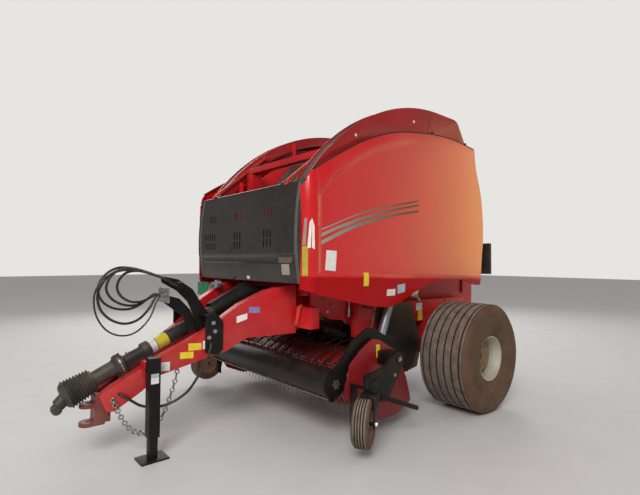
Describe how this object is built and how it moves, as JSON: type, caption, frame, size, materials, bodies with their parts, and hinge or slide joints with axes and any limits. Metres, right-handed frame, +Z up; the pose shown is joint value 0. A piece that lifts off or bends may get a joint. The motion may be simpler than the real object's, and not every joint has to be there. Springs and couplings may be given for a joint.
{
  "type": "round baler",
  "caption": "Towed variable-chamber round baler with pickup, arched side shields, opening tailgate, drawbar and driveline.",
  "frame": {"origin": "on the ground under the middle of the machine's length and width", "axes": "-Y to the tractor, +X the machine's left side, +Z up"},
  "size_m": [2.89, 4.83, 3.061],
  "materials": {
    "red": "gloss",
    "dark_red": "satin",
    "orange_red": "satin",
    "black_paint": "satin",
    "black_plastic": "matte",
    "bronze_panel": "gloss",
    "steel": "satin",
    "chrome_rod": "polished",
    "tyre": "matte",
    "rubber": "matte",
    "rim": "satin",
    "lamp": "gloss",
    "zinc": "satin"
  },
  "bodies": {
    "chassis": {"axle_beam": "dark_red", "frame_rails": "red", "cross_beam": "red", "side_plates": "dark_red", "side_walls": "red", "front_frame": "red", "net_box": "dark_red", "arches": "red", "arch_liners": "bronze_panel", "drawbar": "red", "hitch": "dark_red", "gearbox": "black_paint", "drive_shaft": "black_plastic", "shaft_bellows": "black_plastic", "hose_bracket": "black_paint", "coupling_rack": "zinc", "valve_block": "steel", "side_covers": "black_plastic", "float_springs": "steel", "knife_floor": "dark_red", "chamber_rollers": "steel", "front_belts": "rubber", "safety_chain": "zinc", "hose_a": "rubber", "hose_b": "rubber", "hose_c": "rubber", "hose_d": "rubber", "hose_e": "rubber", "brake_line": "rubber"},
    "wheel_left": {"tyre_left": "tyre", "rim_left": "rim"},
    "wheel_right": {"tyre_right": "tyre", "rim_right": "rim"},
    "intake_rotor": {"rotor": "steel"},
    "guard": {"front_guard": "bronze_panel", "guard_arms": "orange_red"},
    "side_shield_left": {"shield_left": "red"},
    "side_shield_right": {"shield_right": "red"},
    "tailgate": {"tailgate_walls": "red", "tailgate_frame": "red", "tailgate_rollers": "steel", "bale_belts": "rubber", "rear_lamps": "lamp"},
    "ram_left": {"ram_barrel_left": "steel"},
    "ram_left_rod": {"ram_rod_left": "chrome_rod"},
    "ram_right": {"ram_barrel_right": "steel"},
    "ram_right_rod": {"ram_rod_right": "chrome_rod"},
    "pickup": {"pickup_frame": "red", "stripper_bands": "dark_red", "gauge_arms": "black_paint"},
    "reel": {"tine_reel": "steel"},
    "crop_guard": {"windguard_arms": "black_paint", "windguard": "black_paint"},
    "guard_roller": {"crop_roller": "black_paint"},
    "gauge_fork_left": {"gauge_fork_left": "black_paint"},
    "gauge_fork_right": {"gauge_fork_right": "black_paint"},
    "gauge_left": {"gauge_wheel_left": "tyre"},
    "gauge_right": {"gauge_wheel_right": "tyre"},
    "parking_jack": {"jack": "black_paint"}
  },
  "joints": [
    {"name": "wheel_left_spin", "type": "hinge", "parent": "chassis", "child": "wheel_left", "pos_m": [1.175, 1.02, 0.52], "axis": [1, 0, 0], "continuous": true},
    {"name": "shield_left_hinge", "type": "hinge", "parent": "chassis", "child": "side_shield_left", "pos_m": [0.83, 1.1, 2.785], "axis": [0, -1, 0], "range_deg": [0, 75]},
    {"name": "wheel_right_spin", "type": "hinge", "parent": "chassis", "child": "wheel_right", "pos_m": [-1.175, 1.02, 0.52], "axis": [1, 0, 0], "continuous": true},
    {"name": "shield_right_hinge", "type": "hinge", "parent": "chassis", "child": "side_shield_right", "pos_m": [-0.83, 1.1, 2.785], "axis": [0, 1, 0], "range_deg": [0, 75]},
    {"name": "rotor_spin", "type": "hinge", "parent": "chassis", "child": "intake_rotor", "pos_m": [0, 0.31, 0.68], "axis": [1, 0, 0], "continuous": true},
    {"name": "guard_hinge", "type": "hinge", "parent": "chassis", "child": "guard", "pos_m": [0, -0.24, 2.62], "axis": [-1, 0, 0], "range_deg": [0, 65]},
    {"name": "tailgate_hinge", "type": "hinge", "parent": "chassis", "child": "tailgate", "pos_m": [0, 0.38, 2.48], "axis": [1, 0, 0], "range_deg": [0, 60]},
    {"name": "ram_left_swing", "type": "hinge", "parent": "chassis", "child": "ram_left", "pos_m": [0.8, 0.1, 0.718], "axis": [1, 0, 0], "range_deg": [-1.66, 0]},
    {"name": "ram_left_stroke", "type": "slide", "parent": "ram_left", "child": "ram_left_rod", "axis": [0, 0.3733, 0.9277], "range_m": [0, 0.4922]},
    {"name": "ram_right_swing", "type": "hinge", "parent": "chassis", "child": "ram_right", "pos_m": [-0.8, 0.1, 0.718], "axis": [1, 0, 0], "range_deg": [-1.66, 0]},
    {"name": "ram_right_stroke", "type": "slide", "parent": "ram_right", "child": "ram_right_rod", "axis": [0, 0.3733, 0.9277], "range_m": [0, 0.4922]},
    {"name": "pickup_lift", "type": "hinge", "parent": "chassis", "child": "pickup", "pos_m": [0, 0.31, 0.68], "axis": [-1, 0, 0], "range_deg": [-4, 8]},
    {"name": "reel_spin", "type": "hinge", "parent": "pickup", "child": "reel", "pos_m": [0, -0.27, 0.4], "axis": [1, 0, 0], "continuous": true},
    {"name": "crop_guard_lift", "type": "hinge", "parent": "pickup", "child": "crop_guard", "pos_m": [0, 0.02, 0.66], "axis": [-1, 0, 0], "range_deg": [0, 7]},
    {"name": "guard_roller_spin", "type": "hinge", "parent": "crop_guard", "child": "guard_roller", "pos_m": [0, -0.662, 0.488], "axis": [1, 0, 0], "continuous": true},
    {"name": "gauge_left_caster", "type": "hinge", "parent": "pickup", "child": "gauge_fork_left", "pos_m": [1.213, -0.52, 0.52], "axis": [0, 0, 1], "range_deg": [-31, 15]},
    {"name": "gauge_left_spin", "type": "hinge", "parent": "gauge_fork_left", "child": "gauge_left", "pos_m": [1.2748, -0.62286, 0.255], "axis": [0.8572, 0.515, 0], "continuous": true},
    {"name": "gauge_right_caster", "type": "hinge", "parent": "pickup", "child": "gauge_fork_right", "pos_m": [-1.213, -0.52, 0.52], "axis": [0, 0, -1], "range_deg": [0, 46]},
    {"name": "gauge_right_spin", "type": "hinge", "parent": "gauge_fork_right", "child": "gauge_right", "pos_m": [-1.213, -0.64, 0.255], "axis": [1, 0, 0], "continuous": true},
    {"name": "jack_swing", "type": "hinge", "parent": "chassis", "child": "parking_jack", "pos_m": [0.285, -1.815, 0.64], "axis": [-1, 0, 0], "range_deg": [0, 90]}
  ],
  "couplings": [
    {"joint": "ram_left_swing", "follows": "tailgate_hinge", "ratio": -0.0268},
    {"joint": "ram_left_stroke", "follows": "tailgate_hinge", "m_per_rad": 0.46956},
    {"joint": "ram_right_swing", "follows": "tailgate_hinge", "ratio": -0.0268},
    {"joint": "ram_right_stroke", "follows": "tailgate_hinge", "m_per_rad": 0.46956}
  ]
}
